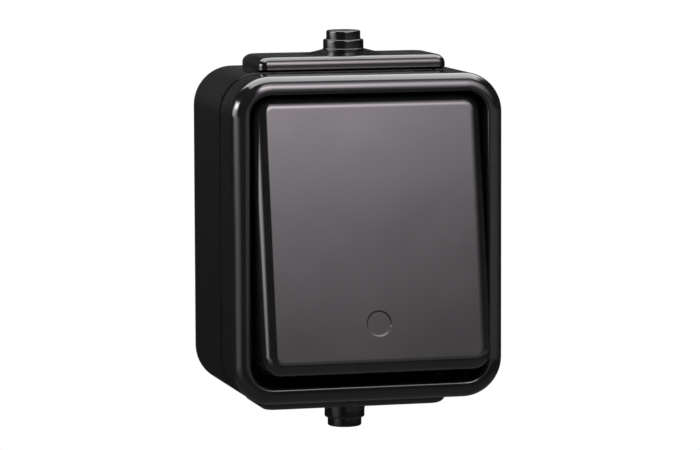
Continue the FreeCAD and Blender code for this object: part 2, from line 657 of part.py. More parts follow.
def make_mechanism_seal():
    body = new_body("mechanism_seal")
    block(body, "seal_outer", FLOOR_BACK, HOLDER_FRONT, f"{FLOOR_WINDOW_WIDTH} + 2 * seal_land",
          "floor_window_height + 2 * seal_land")
    box_cut(body, "seal_window", FLOOR_BACK, HOLDER_FRONT, FLOOR_WINDOW_WIDTH, "floor_window_height")
    return body


def make_mechanism_screws():
    body = new_body("mechanism_screws")
    profile = mech_screw_profile("0", "mech_screw_rest + fit_gap")
    for i, (right, up) in enumerate(MECH_SCREWS):
        screw(body, f"mechanism_screw_{i + 1}", right, up, profile)
    return body


def make_terminal(name):
    """A brass block with its wire hole and screw hole, and the strip that leads to the middle."""
    body = new_body(f"{name}_terminal")
    right, up = TERMINALS[name]
    block(body, f"{name}_block", ARM_FRONT, MECH_FLOOR, "terminal_width", "terminal_height", right, up)
    if name == "common":
        turn_up = f"({up} + terminal_height / 2)"
        block(body, "common_riser", f"{MECH_FLOOR} + strip_thick", MECH_FLOOR, "strip_width",
              f"strip_width / 2 - {turn_up}", right, f"(strip_width / 2 + {turn_up}) / 2")
        lug_outer = "(contact_width / 2 + lug_gap + lug_plate)"
        left = f"({right} - strip_width / 2)"
        block(body, "common_bridge", f"{MECH_FLOOR} + strip_thick", MECH_FLOOR, f"{lug_outer} - {left}",
              "strip_width", f"({lug_outer} + {left}) / 2", "0")
        for side, sign in SIDES.items():
            block(body, f"bearing_lug_{side}", CONTACT_PIVOT, MECH_FLOOR, "lug_plate", "strip_width",
                  f"{sign} * ({lug_outer} - lug_plate / 2)", "0")
        notch = sketch_on(body, "bearing_notch", "YZ_Plane", f"-{lug_outer}")
        circle(notch, "contact_bar_dia + 2 * run_gap", f"-{CONTACT_PIVOT}", "0")
        pocket(body, notch, f"2 * {lug_outer}", onward=True)
    else:
        side = 1 if name == "upper" else -1
        inner = "(contact_arm - button_dia / 2 - contact_gap)"
        outer = f"({CAVITY} / 2 - terminal_height)"
        block(body, f"{name}_arm", ARM_FRONT, f"{ARM_FRONT} - strip_thick", "strip_width",
              f"{outer} - {inner}", "0", f"{side} * ({outer} + {inner}) / 2")
    round_cut(body, f"{name}_clamp_hole", ARM_FRONT, f"{MECH_FLOOR} + wire_rise",
              "clamp_screw_dia + 2 * fit_gap", [(right, up)])
    wire = sketch_on(body, f"{name}_wire_bore", "XY_Plane", f"{up} - terminal_height / 2")
    circle(wire, "wire_bore", right, f"-({MECH_FLOOR} + wire_rise)")
    pocket(body, wire, "terminal_height", onward=True)
    return body


def make_terminal_screws():
    body = new_body("terminal_screws")
    end = f"({MECH_FLOOR} + wire_rise + wire_bore / 2 + fit_gap)"
    for name, (right, up) in TERMINALS.items():
        screw(body, f"{name}_clamp_screw", right, up, [
            (end, "0"), (end, "clamp_screw_dia / 2"), (ARM_FRONT, "clamp_screw_dia / 2"),
            (ARM_FRONT, "clamp_head_dia / 2"), (f"{ARM_FRONT} + clamp_head_height", "clamp_head_dia / 2"),
            (f"{ARM_FRONT} + clamp_head_height", "0"),
        ])
    return body


def make_fixed_contacts():
    body = new_body("fixed_contacts")
    post(body, "fixed_buttons", FIXED_FRONT, ARM_FRONT, "button_dia", BUTTONS)
    return body


def make_contact_rocker():
    """The see-saw, drawn level about its pivot bar."""
    body = new_body("contact_rocker")
    block(body, "contact_strip", "contact_lift + contact_thick", "contact_lift", "contact_width",
          f"2 * ({CONTACT_REACH} + contact_end - button_dia / 2)")
    bar = sketch_on(body, "contact_bar", "YZ_Plane", "-(contact_width / 2 + lug_gap + lug_plate)")
    circle(bar, "contact_bar_dia")
    pad(body, bar, "2 * (contact_width / 2 + lug_gap + lug_plate)")
    tilted(body, CONTACT_PIVOT, "contact_tilt", 1)
    return body


def make_moving_contacts():
    body = new_body("moving_contacts")
    post(body, "moving_buttons", "contact_lift", "contact_lift - button_height", "button_dia", BUTTONS)
    tilted(body, CONTACT_PIVOT, "contact_tilt", 1)
    return body


def make_rocker_plate():
    """The rocker, drawn level about its pivot, then tilted with its lower end out."""
    body = new_body("rocker_plate")
    shell = slab(body, "rocker_outer", "face_rise", SKIRT_EDGE, ROCKER_WIDTH, ROCKER_HEIGHT, "rocker_corner")
    round_edges(body, shell, "rocker_edge_round",
                lambda edge: all_at(edge, lambda point: near(point.y, "-face_rise")))
    inside = sketch_on(body, "rocker_inside", "XZ_Plane", FACE_BACK)
    rectangle(inside, f"{ROCKER_WIDTH} - 2 * rocker_skirt", f"{ROCKER_HEIGHT} - 2 * rocker_skirt",
              "rocker_corner - rocker_skirt")
    pocket(body, inside, f"{FACE_BACK} - {SKIRT_EDGE}")
    for end, sign in ENDS.items():
        block(body, f"clip_lug_{end}", FACE_BACK, f"{FACE_BACK} - lug_drop", "lug_width", "lug_thick",
              "0", f"{sign} * (cradle_height / 2 + fit_gap + lug_thick / 2)")
    round_cut(body, "round_mark", "face_rise", "face_rise - mark_depth", "mark_dia",
              [("0", f"mark_rise - {ROCKER_HEIGHT} / 2")])
    tilted(body, PIVOT_DEPTH, "rest_tilt", -1)
    return body


def make_rocker_cradle():
    body = new_body("rocker_cradle")
    block(body, "cradle_front", FACE_BACK, f"{FACE_BACK} - cradle_plate", "cradle_width", "cradle_height")
    hub = sketch_on(body, "cradle_hub", "YZ_Plane", "-cradle_width / 2")
    circle(hub, "hub_dia")
    pad(body, hub, "cradle_width")
    pins = sketch_on(body, "cradle_pins", "YZ_Plane", f"-{EAR_OUTER}")
    circle(pins, "pin_dia")
    pad(body, pins, f"2 * {EAR_OUTER}")
    stem = sketch_on(body, "cradle_stem", "XZ_Plane", "-stem_drop")
    circle(stem, "stem_dia")
    pad(body, stem, f"stem_drop + {FACE_BACK} - cradle_plate")
    bore = sketch_on(body, "plunger_bore", "XZ_Plane", "-stem_drop")
    circle(bore, "plunger_dia + 2 * run_gap")
    pocket(body, bore, f"stem_drop + {FACE_BACK} - cradle_plate", onward=True)
    tilted(body, PIVOT_DEPTH, "rest_tilt", -1)
    return body


def make_plunger():
    """A turned pin with a round tip and a pocket for the spring at its other end."""
    body = new_body("plunger")
    sketch = sketch_on(body, "plunger_section", "YZ_Plane")
    radius = "(plunger_dia / 2)"
    pocket_radius = "(plunger_pocket_dia / 2)"
    top = "(plunger_reach - plunger_length)"
    outline(sketch, [
        (f"{top} + plunger_pocket_depth", "0"), (f"{top} + plunger_pocket_depth", pocket_radius),
        (top, pocket_radius), (top, radius), ("plunger_reach", radius, "tip_round"), ("plunger_reach", "0"),
    ])
    turned(body, sketch, "H_Axis")
    tilted(body, PIVOT_DEPTH, "rest_tilt", -1)
    return body


def make_plunger_spring():
    """A coil of wire between the bore's end and the plunger's pocket."""
    wire = number("spring_wire")
    radius = number("plunger_pocket_dia") / 2 - wire / 2 - number("fit_gap")
    low = -number("plunger_reach - plunger_length + plunger_pocket_depth") + wire / 2
    high = number(f"{FACE_BACK} - cradle_plate") - wire / 2
    pitch = (high - low) / number("spring_turns")
    helix = Part.makeHelix(pitch, high - low, radius)
    section = Part.Wire(Part.makeCircle(wire / 2, FreeCAD.Vector(radius, 0, 0), FreeCAD.Vector(0, 1, 0)))
    coil = Part.Wire(helix.Edges).makePipeShell([section], True, True)
    spring = doc.addObject("Part::Feature", "plunger_spring")
    spring.Label = "plunger_spring"
    # The coil is wound along +Z, then laid along the bore and tilted with the rocker
    laid = FreeCAD.Rotation(FreeCAD.Vector(1, 0, 0), 90)
    coil.Placement = FreeCAD.Placement(FreeCAD.Vector(0, -low, 0), laid)
    spring.Shape = coil.copy()
    spring.Placement = FreeCAD.Placement(
        FreeCAD.Vector(0, -number(PIVOT_DEPTH), 0),
        FreeCAD.Rotation(FreeCAD.Vector(-1, 0, 0), number("rest_tilt")),
    ).multiply(coil.Placement)
    return spring


PIECES = [
    make_back_box(),
    make_cover_frame(),
    make_cable_entry("upper_cable_entry", 1),
    make_cable_entry("lower_cable_entry", -1),
    make_housing_gasket(),
    make_cover_screws(),
    make_mechanism_base(),
    make_mechanism_holder(),
    make_mechanism_seal(),
    make_mechanism_screws(),
    make_terminal("common"),
    make_terminal("upper"),
    make_terminal("lower"),
    make_terminal_screws(),
    make_fixed_contacts(),
    make_contact_rocker(),
    make_moving_contacts(),
    make_rocker_plate(),
    make_rocker_cradle(),
    make_plunger(),
    make_plunger_spring(),
]
doc.recompute()

for thing in doc.Objects:
    if "Invalid" in thing.State or "Error" in thing.State:
        raise RuntimeError(f"{thing.Name} failed")
for piece in PIECES:
    if piece.Shape.isNull() or not piece.Shape.isValid() or not piece.Shape.Solids:
        raise RuntimeError(f"{piece.Label} has no valid solid")

os.makedirs("parts", exist_ok=True)
for piece in PIECES:
    piece.Shape.exportStep(f"parts/{piece.Label}.step")
    box = piece.Shape.optimalBoundingBox(False)
    print(f"{piece.Label}: {len(piece.Shape.Solids)} solids, {piece.Shape.Volume:.1f} mm3,"
          f" {box.XLength:.2f} x {box.YLength:.2f} x {box.ZLength:.2f} mm")
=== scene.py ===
# %% [markdown]
# # A weatherproof rocker switch
# The switch is a black box on a wall with a soft cable entry at each end and one large rocker that
# stands in a rimmed recess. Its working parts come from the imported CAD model, which is the fixed frame
# of this scene: one unit is a metre, the wall is the plane y = 0 and the rocker looks towards -y.

import json
import math

import bmesh
import bpy
import numpy as np
from mathutils import Matrix, Vector


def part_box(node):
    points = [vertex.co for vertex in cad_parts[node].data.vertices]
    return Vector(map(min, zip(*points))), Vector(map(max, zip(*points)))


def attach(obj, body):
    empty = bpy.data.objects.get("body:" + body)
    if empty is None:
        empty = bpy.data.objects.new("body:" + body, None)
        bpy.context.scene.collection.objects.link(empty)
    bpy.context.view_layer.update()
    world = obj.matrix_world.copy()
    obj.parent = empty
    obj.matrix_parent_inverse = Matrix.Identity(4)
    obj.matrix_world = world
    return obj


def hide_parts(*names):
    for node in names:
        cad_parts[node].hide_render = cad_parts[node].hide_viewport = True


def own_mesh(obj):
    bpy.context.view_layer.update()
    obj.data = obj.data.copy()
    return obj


MM = 0.001
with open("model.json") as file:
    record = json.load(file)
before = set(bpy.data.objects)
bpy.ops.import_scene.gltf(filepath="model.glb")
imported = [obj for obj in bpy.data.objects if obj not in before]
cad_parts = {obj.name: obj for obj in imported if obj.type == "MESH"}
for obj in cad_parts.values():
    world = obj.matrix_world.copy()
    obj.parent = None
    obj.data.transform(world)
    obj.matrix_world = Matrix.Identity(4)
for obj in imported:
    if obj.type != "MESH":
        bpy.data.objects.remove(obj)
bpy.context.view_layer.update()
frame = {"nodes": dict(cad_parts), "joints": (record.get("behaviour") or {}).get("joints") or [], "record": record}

# %% [markdown]
# ## The camera
# A long lens stands a little to the left of the switch and a little above it. The picture is 700 by 450,
# so the 36 mm sensor spans its width. Two angles, a roll and a distance place the camera, and it looks
# at a point on the plane of the rim, which is the housing's front.

# %% Place the camera
CAMERA_AZIMUTH = math.radians(-14.763)
CAMERA_ELEVATION = math.radians(6.228)
CAMERA_ROLL = math.radians(-0.184)
CAMERA_DISTANCE = 920.5 * MM
CAMERA_LENS = 201.3
SENSOR_WIDTH = 36.0
AIM_RIGHT = -4.83 * MM
AIM_UP = 3.40 * MM


def camera_axes(azimuth, elevation, roll):
    """Right, up and back of a camera: back points to it along both angles, and the roll turns the others."""
    back = np.array([
        math.sin(azimuth) * math.cos(elevation),
        -math.cos(azimuth) * math.cos(elevation),
        math.sin(elevation),
    ])
    level = np.array([math.cos(azimuth), math.sin(azimuth), 0.0])
    upright = np.cross(back, level)
    right = math.cos(roll) * level + math.sin(roll) * upright
    up = math.cos(roll) * upright - math.sin(roll) * level
    return right, up, back


right, up, back = camera_axes(CAMERA_AZIMUTH, CAMERA_ELEVATION, CAMERA_ROLL)
rim_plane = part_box("cover_frame")[0].y
aim = np.array([0.0, rim_plane, 0.0]) + AIM_RIGHT * right + AIM_UP * up
place = aim + CAMERA_DISTANCE * back
pose = np.eye(4)
pose[:3] = np.stack([right, up, back, place], axis=1)
camera = bpy.data.objects.new("camera", bpy.data.cameras.new("camera"))
camera.data.sensor_width = SENSOR_WIDTH
camera.data.lens = CAMERA_LENS
camera.matrix_world = Matrix(pose.tolist())
bpy.context.scene.collection.objects.link(camera)
bpy.context.scene.camera = camera
bpy.context.scene.view_settings.view_transform = "Standard"
print("camera at", [round(float(value), 4) for value in place])

# %% [markdown]
# ## Colours and nodes
# Colours are written as the hex values that one would pick on screen. Blender's shaders want linear
# light, so one function undoes the screen's curve. A second function adds a node to a material, with its
# settings and its inputs. Most finishes of a moulded, cut or rolled thing come from a pattern that moves
# between two colours and two roughnesses, and from a relief that bends the light, so a third function
# puts those three on the shader.

# %% Colour and node helpers
# Most values of a noise lie between these two
NOISE_LOW = 0.3
NOISE_HIGH = 0.7


def linear(hex_colour):
    """Linear RGBA of an sRGB hex colour: the screen's curve is undone in each channel."""
    screen = np.array([int(hex_colour[i:i + 2], 16) / 255 for i in (1, 3, 5)])
    light = np.where(screen <= 0.04045, screen / 12.92, ((screen + 0.055) / 1.055) ** 2.4)
    return (*light, 1.0)


def add_node(tree, kind, settings, inputs):
    """A node of that kind with its settings; an input is a value or another node's output."""
    node = tree.nodes.new(kind)
    for name, value in settings.items():
        setattr(node, name, value)
    for name, value in inputs.items():
        if isinstance(value, bpy.types.NodeSocket):
            tree.links.new(value, node.inputs[name])
        else:
            node.inputs[name].default_value = value
    return node


def start_material(name):
    """A material with its node tree, its Principled shader and the Object coordinates in metres."""
    material = bpy.data.materials.new(name)
    material.use_nodes = True
    tree = material.node_tree
    coordinates = add_node(tree, "ShaderNodeTexCoord", {}, {}).outputs["Object"]
    return material, tree, tree.nodes["Principled BSDF"], coordinates


def dress_shader(tree, shader, pattern, colours, roughness, height, relief):
    """A pattern runs between two hex colours and two roughnesses, and a height raises the surface by up to
    the relief."""
    ramp = add_node(tree, "ShaderNodeValToRGB", {}, {"Fac": pattern})
    for element, position, colour in zip(ramp.color_ramp.elements, (NOISE_LOW, NOISE_HIGH), colours):
        element.position = position
        element.color = linear(colour)
    rough = add_node(tree, "ShaderNodeMapRange", {}, {
        "Value": pattern, "From Min": NOISE_LOW, "From Max": NOISE_HIGH,
        "To Min": roughness[0], "To Max": roughness[1]})
    bump = add_node(tree, "ShaderNodeBump", {}, {"Height": height, "Strength": 1.0, "Distance": relief})
    tree.links.new(ramp.outputs["Color"], shader.inputs["Base Color"])
    tree.links.new(rough.outputs["Result"], shader.inputs["Roughness"])
    tree.links.new(bump.outputs["Normal"], shader.inputs["Normal"])


print("a mid grey in linear light:", [round(float(value), 3) for value in linear("#808080")[:3]])

# %% [markdown]
# ## Glossy black plastic
# The box, the cover and the rocker are ABS moulded in polished steel: deep black, with crisp but dark
# reflections, because a plastic mirrors only a twentieth of the light that meets it head on. Moulded
# gloss is never quite flat. It shrinks as it cools, which leaves a slow wave of some millimetres, and
# hands leave a patchy film. Both are noise here: one bends the normal by a hair, one varies roughness.

# %% Housing plastic
FILM_PATCH = 9 * MM
SHRINK_WAVE = 14 * MM
WAVE_RELIEF = 0.02 * MM
ABS_IOR = 1.53


def glossy_black_abs():
    """Polished ABS: near-black, with a clear gloss that a slow wave and a faint film soften."""
    material, tree, shader, coordinates = start_material("glossy_black_abs")
    film = add_node(tree, "ShaderNodeTexNoise", {}, {
        "Vector": coordinates, "Scale": 1 / FILM_PATCH, "Detail": 3.0})
    wave = add_node(tree, "ShaderNodeTexNoise", {}, {
        "Vector": coordinates, "Scale": 1 / SHRINK_WAVE, "Detail": 0.0})
    dress_shader(
        tree, shader, film.outputs["Fac"], ("#141415", "#171718"), (0.10, 0.14),
        wave.outputs["Fac"], WAVE_RELIEF)
    shader.inputs["IOR"].default_value = ABS_IOR
    return material


housing_plastic = glossy_black_abs()
print("made", housing_plastic.name)

# %% [markdown]
# ## The other finishes
# The remaining finishes differ in colour, grain size and gloss, and share one recipe: a noise of the
# grain's real size tints the colour, varies the roughness and raises the surface a little. Stretching
# the noise along one axis turns grain into the lines of a rolled metal. The soft entries are satin
# rubber; most of the others are hidden inside, and show when the switch is taken apart. Real fibres,
# crystals and rolling lines are a tenth of a millimetre or less, too fine to show here, so their grain
# is drawn several times coarser.

# %% Grained finishes


def grained(name, colours, grain, roughness, relief, stretch=(1, 1, 1), metallic=0.0):
    """A finish from one noise of that grain size: two colours, a roughness range and a relief height."""
    material, tree, shader, coordinates = start_material(name)
    laid = add_node(tree, "ShaderNodeMapping", {}, {"Vector": coordinates, "Scale": stretch})
    noise = add_node(tree, "ShaderNodeTexNoise", {}, {
        "Vector": laid.outputs["Vector"], "Scale": 1 / grain, "Detail": 3.0})
    pattern = noise.outputs["Fac"]
    dress_shader(tree, shader, pattern, colours, roughness, pattern, relief)
    shader.inputs["Metallic"].default_value = metallic
    return material


finishes = {
    # Polished black ABS of the shells
    "housing_plastic": housing_plastic,
    # Thermoplastic rubber from a polished mould: black, its highlights a little wider than the shells'
    "entry_rubber": grained("soft_black_tpe", ("#111112", "#151515"), 0.8 * MM, (0.13, 0.18), 0.002 * MM),
    # Cut sheet rubber: matt, dark grey and slightly dusty
    "seal_rubber": grained("black_epdm_sheet", ("#1c1c1d", "#272728"), 0.5 * MM, (0.55, 0.75), 0.01 * MM),
    # Glass-filled polyamide: light grey and matt, with the fibres' fine mottle
    "mechanism_plastic": grained("grey_polyamide", ("#b9b9b4", "#c8c8c3"), 0.6 * MM, (0.40, 0.55), 0.01 * MM),
    # Acetal, which slides well: white, smooth, half glossy
    "moving_plastic": grained("white_acetal", ("#dcdad2", "#e8e6df"), 2.0 * MM, (0.25, 0.35), 0.004 * MM),
    # Brass strip: warm yellow, with rolling lines along the strip
    "terminal_brass": grained("rolled_brass", ("#b08d4a", "#cfae68"), 0.4 * MM, (0.22, 0.36), 0.004 * MM,
                              stretch=(4, 4, 0.3), metallic=1.0),
    # Silver alloy rivets: pale, with a soft tarnish
    "contact_metal": grained("silver_alloy", ("#c9c8c3", "#e2e1dd"), 0.7 * MM, (0.20, 0.32), 0.003 * MM,
                             metallic=1.0),
    # Zinc on steel: cool grey, with the plating's crystals
    "screw_steel": grained("zinc_plated_steel", ("#a7abb0", "#c6cacd"), 0.5 * MM, (0.26, 0.40), 0.005 * MM,
                           metallic=1.0),
    # Drawn spring wire: darker steel, with the fine marks of the die
    "spring_steel": grained("drawn_spring_steel", ("#83868a", "#a2a5a8"), 0.25 * MM, (0.24, 0.36), 0.003 * MM,
                            metallic=1.0),
}
print("finishes:", ", ".join(material.name for material in finishes.values()))

# %% Dress every CAD node
slot_of = {part["node"]: part["material_slot"] for part in frame["record"]["subparts"]}
for node, slot in slot_of.items():
    mesh = frame["nodes"][node].data
    mesh.materials.clear()
    mesh.materials.append(finishes[slot])
print("dressed", len(slot_of), "CAD nodes")

# %% [markdown]
# ## Surfaces from rings
# Rocker and cable entries are stacks of closed rings: rounded rectangles that grow, shrink and move
# from one height to the next. A circle is a rounded rectangle whose corners take up everything, so
# plate, saddle and nipple can be one skin. The grid has one row per ring and one column per point on it,
# and a cap closes each end. A narrow strip beside each rounding keeps the flat faces truly flat.

# %% Ring helpers
CORNER_POINTS = 20
JOIN_DISTANCE = 0.002 * MM
SHARP_ANGLE = math.radians(32)


def rounded_rings(half_width, half_height, corner):
    """Rounded rectangles, one a row: four quarter circles of the corner radius, joined by straight sides,
    walked anticlockwise from the right. Returns the places across and along."""
    half_width, half_height, corner = [
        np.atleast_1d(np.asarray(size, dtype=float))[:, None] for size in (half_width, half_height, corner)]
    quarter = np.linspace(0, math.pi / 2, CORNER_POINTS)
    turn = np.concatenate([quarter + k * math.pi / 2 for k in range(4)])
    side = np.repeat([1, -1, -1, 1], CORNER_POINTS)
    rise = np.repeat([1, 1, -1, -1], CORNER_POINTS)
    across = side * (half_width - corner) + corner * np.cos(turn)
    along = rise * (half_height - corner) + corner * np.sin(turn)
    return across, along


def arc(steps):
    """Sine and cosine of evenly spaced angles from 0 to 90 degrees, both ends included."""
    angle = np.radians(np.linspace(0, 90, steps))
    return np.sin(angle), np.cos(angle)


def skin(rings, first=0):
    """Points and faces of a stack of rings (ring, point, xyz): a band of quads between neighbours, and a
    cap on the first and the last. The first ring is seen from outside as anticlockwise, and its first
    point has the number given."""
    count, around = rings.shape[:2]
    index = first + np.arange(count * around).reshape(count, around)
    after = np.roll(index, -1, axis=1)
    bands = np.stack([index[:-1], index[1:], after[1:], after[:-1]], axis=-1).reshape(-1, 4)
    return rings.reshape(-1, 3), bands.tolist() + [index[0].tolist(), index[-1, ::-1].tolist()]


def make_piece(name, stacks, node, body):
    """A piece from one or more skins that stands for a CAD node, rides on its body and has its finish.
    Points that fall together, as on a circle's quarters, are joined."""
    points = np.zeros((0, 3))
    faces = []
    for rings in stacks:
        more_points, more_faces = skin(rings, len(points))
        points = np.concatenate([points, more_points])
        faces += more_faces
    mesh = bpy.data.meshes.new(name)
    mesh.from_pydata(points * MM, [], faces)
    return finish_piece(name, mesh, node, body)


def finish_piece(name, mesh, node, body):
    """Joins doubled points, shades round faces smooth and creases sharp, and gives the piece to the frame."""
    work = bmesh.new()
    work.from_mesh(mesh)
    bmesh.ops.remove_doubles(work, verts=work.verts, dist=JOIN_DISTANCE)
    work.to_mesh(mesh)
    work.free()
    mesh.polygons.foreach_set("use_smooth", np.ones(len(mesh.polygons), dtype=bool))
    mesh.set_sharp_from_angle(angle=SHARP_ANGLE)
    mesh.materials.clear()
    mesh.materials.append(finishes[slot_of[node]])
    piece = bpy.data.objects.new(name, mesh)
    bpy.context.scene.collection.objects.link(piece)
    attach(piece, body)
    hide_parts(node)
    return piece


print("each ring has", 4 * CORNER_POINTS, "points")

# %% [markdown]
# ## The rocker plate
# The rocker is a thin moulded cap: a flat face with a shallow round mark near its lower end, a
# generous rounding all round, a skirt, and two lugs at the back that clip over the cradle. It is drawn
# level about its pivot and then tilted, because at rest its lower end stands out. A bevelled box with a
# cut for the mark would do as well, but a gloss shows the seam of a cut. One skin has none: it starts
# inside the mark, spreads over the face and turns round the edge into the skirt and back up inside it.

# %% Rocker sizes in mm
ROCKER_HALF_WIDTH = 27.55
ROCKER_HALF_HEIGHT = 32.6
ROCKER_CORNER = 4.4
ROCKER_EDGE = 3.0
ROCKER_RISE = 11.5
ROCKER_FACE = 2.2
ROCKER_SKIRT = 2.0
SKIRT_LIP = 0.3
LIP_MIDDLE = 0.3
MARK_RADIUS = 2.9
MARK_DEPTH = 0.24
MARK_EDGE = 0.1
MARK_UP = -21.2
LUG_HALF_WIDTH = 5.0
LUG_HALF_THICK = 0.75
LUG_DROP = 5.0
LUG_UP = 8.85
LUG_EDGE = 0.2
FLAT_STRIP = 0.15
EDGE_STEPS = 18
MARK_STEPS = 6
rocker_joint = next(joint for joint in frame["joints"] if joint["name"] == "rocker_tilt")
rocker_pivot = np.array(rocker_joint["pos_m"]) / MM
rocker_tilt = math.radians(rocker_joint["range_deg"][1] / 2)
print("rocker pivot", rocker_pivot, "tilt", round(math.degrees(rocker_tilt), 2), "degrees")

# %% Rocker skin


def tilt_rocker(points):
    """Turns points about the pivot's X axis until the lower end stands out, and moves them to the pivot."""
    sine = math.sin(rocker_tilt)
    cosine = math.cos(rocker_tilt)
    x, y, z = np.moveaxis(points, -1, 0)
    return np.stack([x, y * cosine + z * sine, z * cosine - y * sine], axis=-1) + rocker_pivot


def outline_rings(inset, rise):
    """Rings of the rocker's outline, moved in by the inset and standing rise in front of the pivot."""
    inset = np.asarray(inset, dtype=float)
    x, z = rounded_rings(ROCKER_HALF_WIDTH - inset, ROCKER_HALF_HEIGHT - inset, ROCKER_CORNER - inset)
    y = np.broadcast_to(-np.asarray(rise, dtype=float)[:, None], x.shape)
    return np.stack([x, y, z], axis=-1)


def mark_rings(radius, rise):
    """Circles about the mark's middle, standing rise in front of the pivot."""
    x, z = rounded_rings(radius, radius, radius)
    return np.stack([x, np.broadcast_to(-rise[:, None], x.shape), z + MARK_UP], axis=-1)


def rocker_rings():
    """Mark, face, rounded edge, skirt and inside, in that order."""
    sine, cosine = arc(EDGE_STEPS)
    inset = np.concatenate([
        [ROCKER_EDGE + FLAT_STRIP], ROCKER_EDGE * (1 - cosine[::-1]), [0.0],
        [0.0], SKIRT_LIP * np.array([LIP_MIDDLE, 1.0]), [ROCKER_SKIRT - SKIRT_LIP], [ROCKER_SKIRT],
        [ROCKER_SKIRT], [ROCKER_SKIRT + SKIRT_LIP]])
    inner_face = ROCKER_RISE - ROCKER_FACE
    rise = np.concatenate([
        [ROCKER_RISE], ROCKER_RISE - ROCKER_EDGE * (1 - sine[::-1]), [ROCKER_RISE - ROCKER_EDGE - FLAT_STRIP],
        [SKIRT_LIP], SKIRT_LIP * np.array([LIP_MIDDLE, 0.0]), [0.0], [SKIRT_LIP],
        [inner_face - SKIRT_LIP], [inner_face]])
    outline = outline_rings(inset, rise)
    fillet_sine, fillet_cosine = arc(MARK_STEPS)
    radius = np.concatenate([
        [MARK_RADIUS / 2, MARK_RADIUS - MARK_EDGE - FLAT_STRIP],
        MARK_RADIUS - MARK_EDGE * (1 - fillet_sine), MARK_RADIUS + MARK_EDGE * (1 - fillet_cosine),
        [MARK_RADIUS + MARK_EDGE + FLAT_STRIP]])
    floor = ROCKER_RISE - MARK_DEPTH
    mark_rise = np.concatenate([
        [floor, floor], floor + MARK_EDGE * (1 - fillet_cosine),
        ROCKER_RISE - MARK_EDGE * (1 - fillet_sine), [ROCKER_RISE]])
    return np.concatenate([mark_rings(radius, mark_rise), outline])


def lug_rings(up):
    """A clip lug at that height: a small block that starts just inside the face and hangs behind it."""
    inset = np.array([0.0, 0.0, LUG_EDGE])
    inner_face = ROCKER_RISE - ROCKER_FACE
    rise = np.array([inner_face + FLAT_STRIP, inner_face - LUG_DROP + LUG_EDGE, inner_face - LUG_DROP])
    x, z = rounded_rings(LUG_HALF_WIDTH - inset, LUG_HALF_THICK - inset, 2 * LUG_EDGE - inset)
    return np.stack([x, np.broadcast_to(-rise[:, None], x.shape), z + up], axis=-1)


rocker_stacks = [tilt_rocker(rings) for rings in (rocker_rings(), lug_rings(LUG_UP), lug_rings(-LUG_UP))]
rocker_cap = make_piece("rocker_cap", rocker_stacks, "rocker_plate", "rocker")
print(rocker_cap.name, len(rocker_cap.data.polygons), "faces")

# %% [markdown]
# ## The plunger's spring
# Behind the rocker a coil spring presses the plunger onto the contact see-saw. It is drawn wire, so it
# is a small circle carried along a helix, level about the rocker's pivot and then tilted with it. A
# bevelled curve could draw it too, but as rings of points it is a mesh from the start, with closed ends.

# %% Spring coil
SPRING_WIRE = 0.4
SPRING_RADIUS = 1.2
SPRING_TURNS = 7
SPRING_FRONT = -3.5
SPRING_REAR = 9.0
TURN_POINTS = 24
WIRE_POINTS = 16


def spring_rings():
    """Circles of wire along a helix: a point's reach from the axis and its place along the axis follow one
    circle, while the turn goes round and the middle runs from the rear end to the front end."""
    wire = SPRING_WIRE / 2
    turn = np.linspace(0, 2 * math.pi * SPRING_TURNS, SPRING_TURNS * TURN_POINTS + 1)[:, None]
    middle = np.linspace(SPRING_REAR - wire, SPRING_FRONT + wire, len(turn))[:, None]
    around = np.linspace(0, 2 * math.pi, WIRE_POINTS, endpoint=False)
    reach = SPRING_RADIUS + wire * np.cos(around)
    return np.stack([reach * np.cos(turn), middle - wire * np.sin(around), reach * np.sin(turn)], axis=-1)


plunger_coil = make_piece("plunger_coil", [tilt_rocker(spring_rings())], "plunger_spring", "rocker")
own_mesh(plunger_coil)

# %% [markdown]
# ## The cable entries
# A soft plug closes the slot at each end of the box. Seen from outside it is a plate whose front leans
# back a little above a dark undercut, and a stepped nipple that is cut open to suit the cable. Below a
# narrow ledge, a saddle spreads from the nipple's foot over the plate. Cylinders and a box could be
# joined into it, but as one stack of rings it is a single skin, as a moulding is. The plate's rings are
# worked out from the height: near the top its ends draw in on one radius, its front and rear on
# another, and at the foot the front is set back. The lower plug is the upper one, turned round.

# %% Entry sizes in mm
WALL_TOP = 38.75
ENTRY_HALF_WIDTH = 23.0
ENTRY_FRONT = 28.2
ENTRY_REAR = 8.4
ENTRY_PROUD = 3.5
ENTRY_END = 2.1
ENTRY_EDGE = 2.0
UNDERCUT_HEIGHT = 0.6
UNDERCUT_DEPTH = 2.0
LEAN_HEIGHT = 1.4
LEAN_BACK = 0.1
LOW_RADIUS = 4.85
LOW_HEIGHT = 2.15
HIGH_RADIUS = 4.1
HIGH_HEIGHT = 2.1
STEP_EDGE = 0.45
FOOT_RADIUS = 4.95
SADDLE_HEIGHT = 1.4
SADDLE_CROWN = 1.25
SADDLE_HALF_WIDTH = 10.0
SADDLE_HALF_DEPTH = 7.7
nipple_depth = (ENTRY_FRONT + ENTRY_REAR) / 2
plate_top = WALL_TOP + ENTRY_PROUD
lip = WALL_TOP + UNDERCUT_HEIGHT
tip = plate_top + SADDLE_HEIGHT + LOW_HEIGHT + HIGH_HEIGHT

# %% Entry plate
ROUNDING_STEPS = 20
LEAN_STEPS = 8


def drawn_in(height, radius):
    """How far a rounded edge of that radius has drawn in at a height below the plate's top."""
    part = np.clip((height - (plate_top - radius)) / radius, 0, 1)
    return radius * (1 - np.sqrt(1 - part ** 2))


